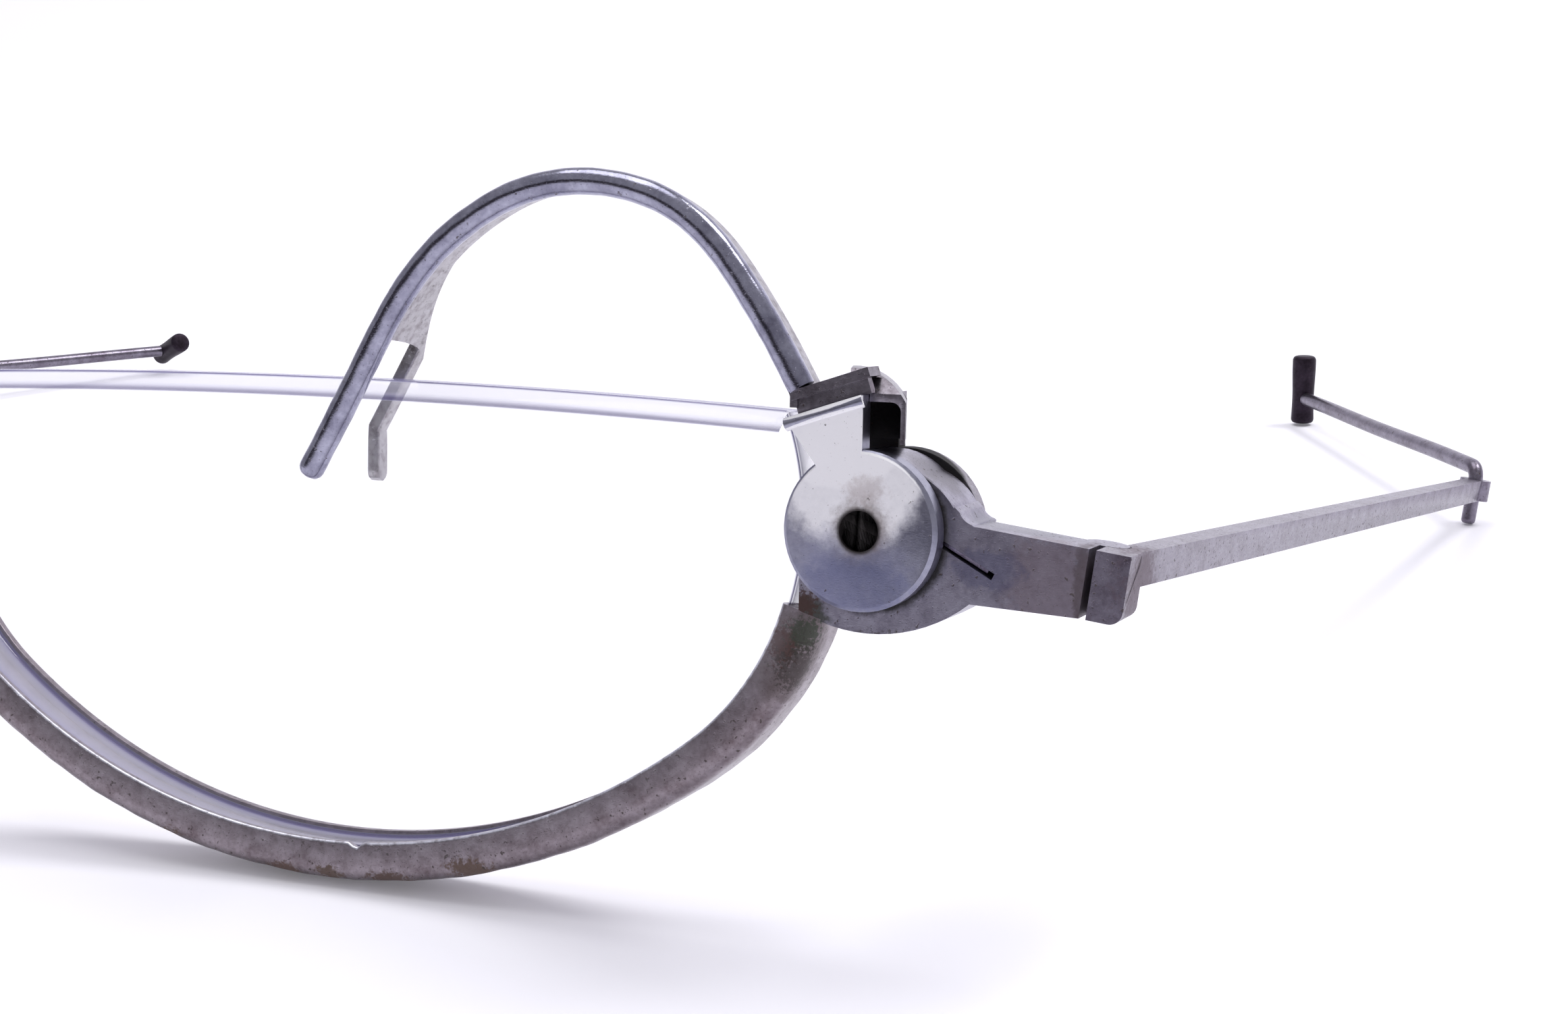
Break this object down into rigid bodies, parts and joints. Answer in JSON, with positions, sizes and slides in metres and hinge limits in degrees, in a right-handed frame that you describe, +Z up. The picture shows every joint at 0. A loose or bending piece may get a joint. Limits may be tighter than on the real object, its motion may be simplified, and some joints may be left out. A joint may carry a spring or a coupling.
{
  "type": "folding half-eye spectacles",
  "caption": "Half-eye spectacles with folding turn-pin sides and a sprung arch on a small drum beside each lens, its forked end astride the lens's top edge.",
  "frame": {"origin": "on the table plane, under the middle of the whole pair's bounding box, as it stands on its rims and turn pins", "axes": "+X across the face towards the side drawn in full in the picture, +Y from the lenses back to the tips, +Z up from the table"},
  "size_m": [0.139, 0.103, 0.0294],
  "materials": {
    "lens_glass": "polished",
    "nickel": "worn satin",
    "bright_nickel": "worn polish",
    "dark_nickel": "tarnished",
    "blued_steel": "blued",
    "tip_black": "dark"
  },
  "bodies": {
    "frame": {"right_lens": "lens_glass", "right_rim": "nickel", "right_hub_endpiece": "nickel", "right_drum_spring": "blued_steel", "right_hinge_pin": "nickel", "left_lens": "lens_glass", "left_rim": "nickel", "left_hub_endpiece": "nickel", "left_drum_spring": "blued_steel", "left_hinge_pin": "nickel", "nose_bridge": "nickel"},
    "right_arch": {"right_front_cheek": "bright_nickel", "right_back_cheek": "dark_nickel", "right_arch_wire": "bright_nickel", "right_arch_strip": "dark_nickel", "right_arch_bracket": "dark_nickel", "right_spring_arbor": "nickel", "right_pivot_screw": "blued_steel"},
    "right_temple": {"right_temple_bar": "nickel"},
    "right_arm": {"right_rear_arm": "nickel"},
    "right_tip": {"right_tip_pad": "tip_black"},
    "left_arch": {"left_front_cheek": "bright_nickel", "left_back_cheek": "dark_nickel", "left_arch_wire": "bright_nickel", "left_arch_strip": "dark_nickel", "left_arch_bracket": "dark_nickel", "left_spring_arbor": "nickel", "left_pivot_screw": "blued_steel"},
    "left_temple": {"left_temple_bar": "nickel"},
    "left_arm": {"left_rear_arm": "nickel"},
    "left_tip": {"left_tip_pad": "tip_black"}
  },
  "joints": [
    {"name": "right_arch_turn", "type": "hinge", "parent": "frame", "child": "right_arch", "pos_m": [0.0535, -0.04798, 0.01615], "axis": [0, 0.9884, -0.1517], "range_deg": [-3, 50], "stiffness_Nm_per_rad": 0.006},
    {"name": "right_temple_fold", "type": "hinge", "parent": "frame", "child": "right_temple", "pos_m": [0.06185, -0.04736, 0.01456], "axis": [0.1219, 0.1506, 0.9811], "range_deg": [0, 80]},
    {"name": "right_arm_turn", "type": "hinge", "parent": "right_temple", "child": "right_arm", "pos_m": [0.06845, 0.02182, 0.00224], "axis": [0.1235, 0.1712, 0.9775], "range_deg": [-34, 145]},
    {"name": "right_tip_turn", "type": "hinge", "parent": "right_arm", "child": "right_tip", "pos_m": [0.05291, 0.04985, 0.00206], "axis": [-0.4913, 0.8697, -0.0474], "range_deg": [-81, 99]},
    {"name": "left_arch_turn", "type": "hinge", "parent": "frame", "child": "left_arch", "pos_m": [-0.0535, -0.04798, 0.01615], "axis": [0, -0.9884, 0.1517], "range_deg": [-3, 50], "stiffness_Nm_per_rad": 0.006},
    {"name": "left_temple_fold", "type": "hinge", "parent": "frame", "child": "left_temple", "pos_m": [-0.06185, -0.04736, 0.01456], "axis": [0.1219, -0.1506, -0.9811], "range_deg": [0, 68]},
    {"name": "left_arm_turn", "type": "hinge", "parent": "left_temple", "child": "left_arm", "pos_m": [-0.06845, 0.02182, 0.00224], "axis": [0.1235, -0.1712, -0.9775], "range_deg": [-34, 145]},
    {"name": "left_tip_turn", "type": "hinge", "parent": "left_arm", "child": "left_tip", "pos_m": [-0.05291, 0.04985, 0.00206], "axis": [-0.4913, -0.8697, 0.0474], "range_deg": [-10, 170]}
  ]
}
